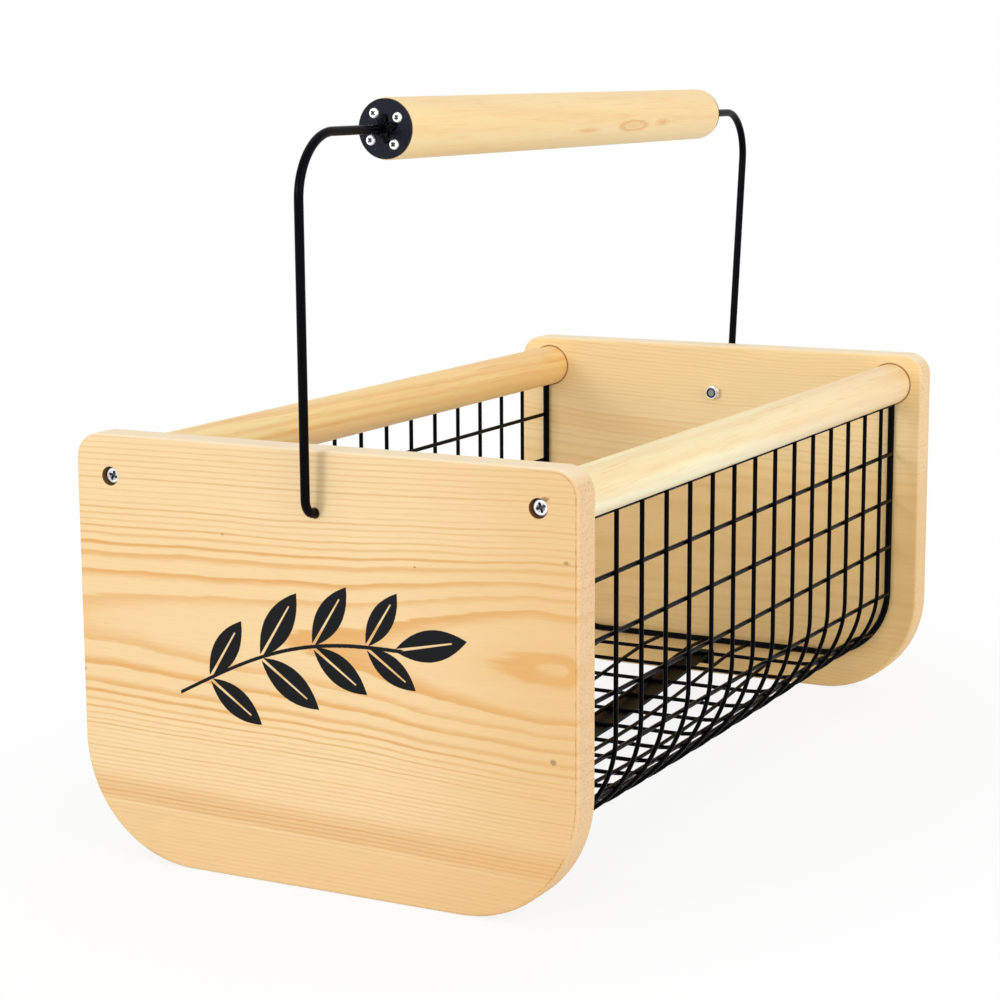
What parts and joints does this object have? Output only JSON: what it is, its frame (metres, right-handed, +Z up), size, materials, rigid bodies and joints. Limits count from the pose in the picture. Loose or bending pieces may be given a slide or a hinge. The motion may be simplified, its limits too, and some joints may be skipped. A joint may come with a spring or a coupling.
{
  "type": "garden trug",
  "caption": "Open harvest basket: rounded wooden end boards, dowel rails, a U-shaped welded wire mesh body and a swinging bail handle with a wooden grip.",
  "frame": {"origin": "on the ground under the middle of the basket", "axes": "+X from the front board to the rear board, +Y to the left side, +Z up"},
  "size_m": [0.5404, 0.276, 0.3784],
  "materials": {
    "front_board_pine": "sanded pine, clear sealed",
    "rear_board_pine": "sanded pine, clear sealed",
    "rail_pine": "sanded pine dowel",
    "grip_pine": "turned and sanded pine",
    "mesh_coat": "black powder coat, satin",
    "hoop_coat": "black powder coat, satin",
    "strap_coat": "black powder coat, satin",
    "plate_coat": "black powder coat, satin",
    "rod_coat": "black powder coat, gloss",
    "screw_zinc": "bright zinc plate",
    "small_screw_zinc": "bright zinc plate",
    "nut_steel": "bright zinc plate",
    "insert_nylon": "dark nylon"
  },
  "bodies": {
    "basket": {"front_board": "front_board_pine", "rear_board": "rear_board_pine", "left_rail": "rail_pine", "right_rail": "rail_pine", "rail_screw_front_left": "screw_zinc", "rail_screw_front_right": "screw_zinc", "rail_screw_rear_left": "screw_zinc", "rail_screw_rear_right": "screw_zinc", "cross_wires": "mesh_coat", "long_wires": "mesh_coat", "end_hoop_front": "hoop_coat", "end_hoop_rear": "hoop_coat", "floor_strap": "strap_coat"},
    "handle": {"grip": "grip_pine", "grip_plate_front": "plate_coat", "grip_plate_rear": "plate_coat", "grip_screws_front": "small_screw_zinc", "grip_screws_rear": "small_screw_zinc", "bail_rod_front": "rod_coat", "bail_rod_rear": "rod_coat", "lock_nut_front": "nut_steel", "lock_nut_rear": "nut_steel", "nut_insert_front": "insert_nylon", "nut_insert_rear": "insert_nylon"}
  },
  "joints": [
    {"name": "bail_swing", "type": "hinge", "parent": "basket", "child": "handle", "pos_m": [0, 0, 0.186], "axis": [1, 0, 0], "range_deg": [-122, 122]}
  ]
}
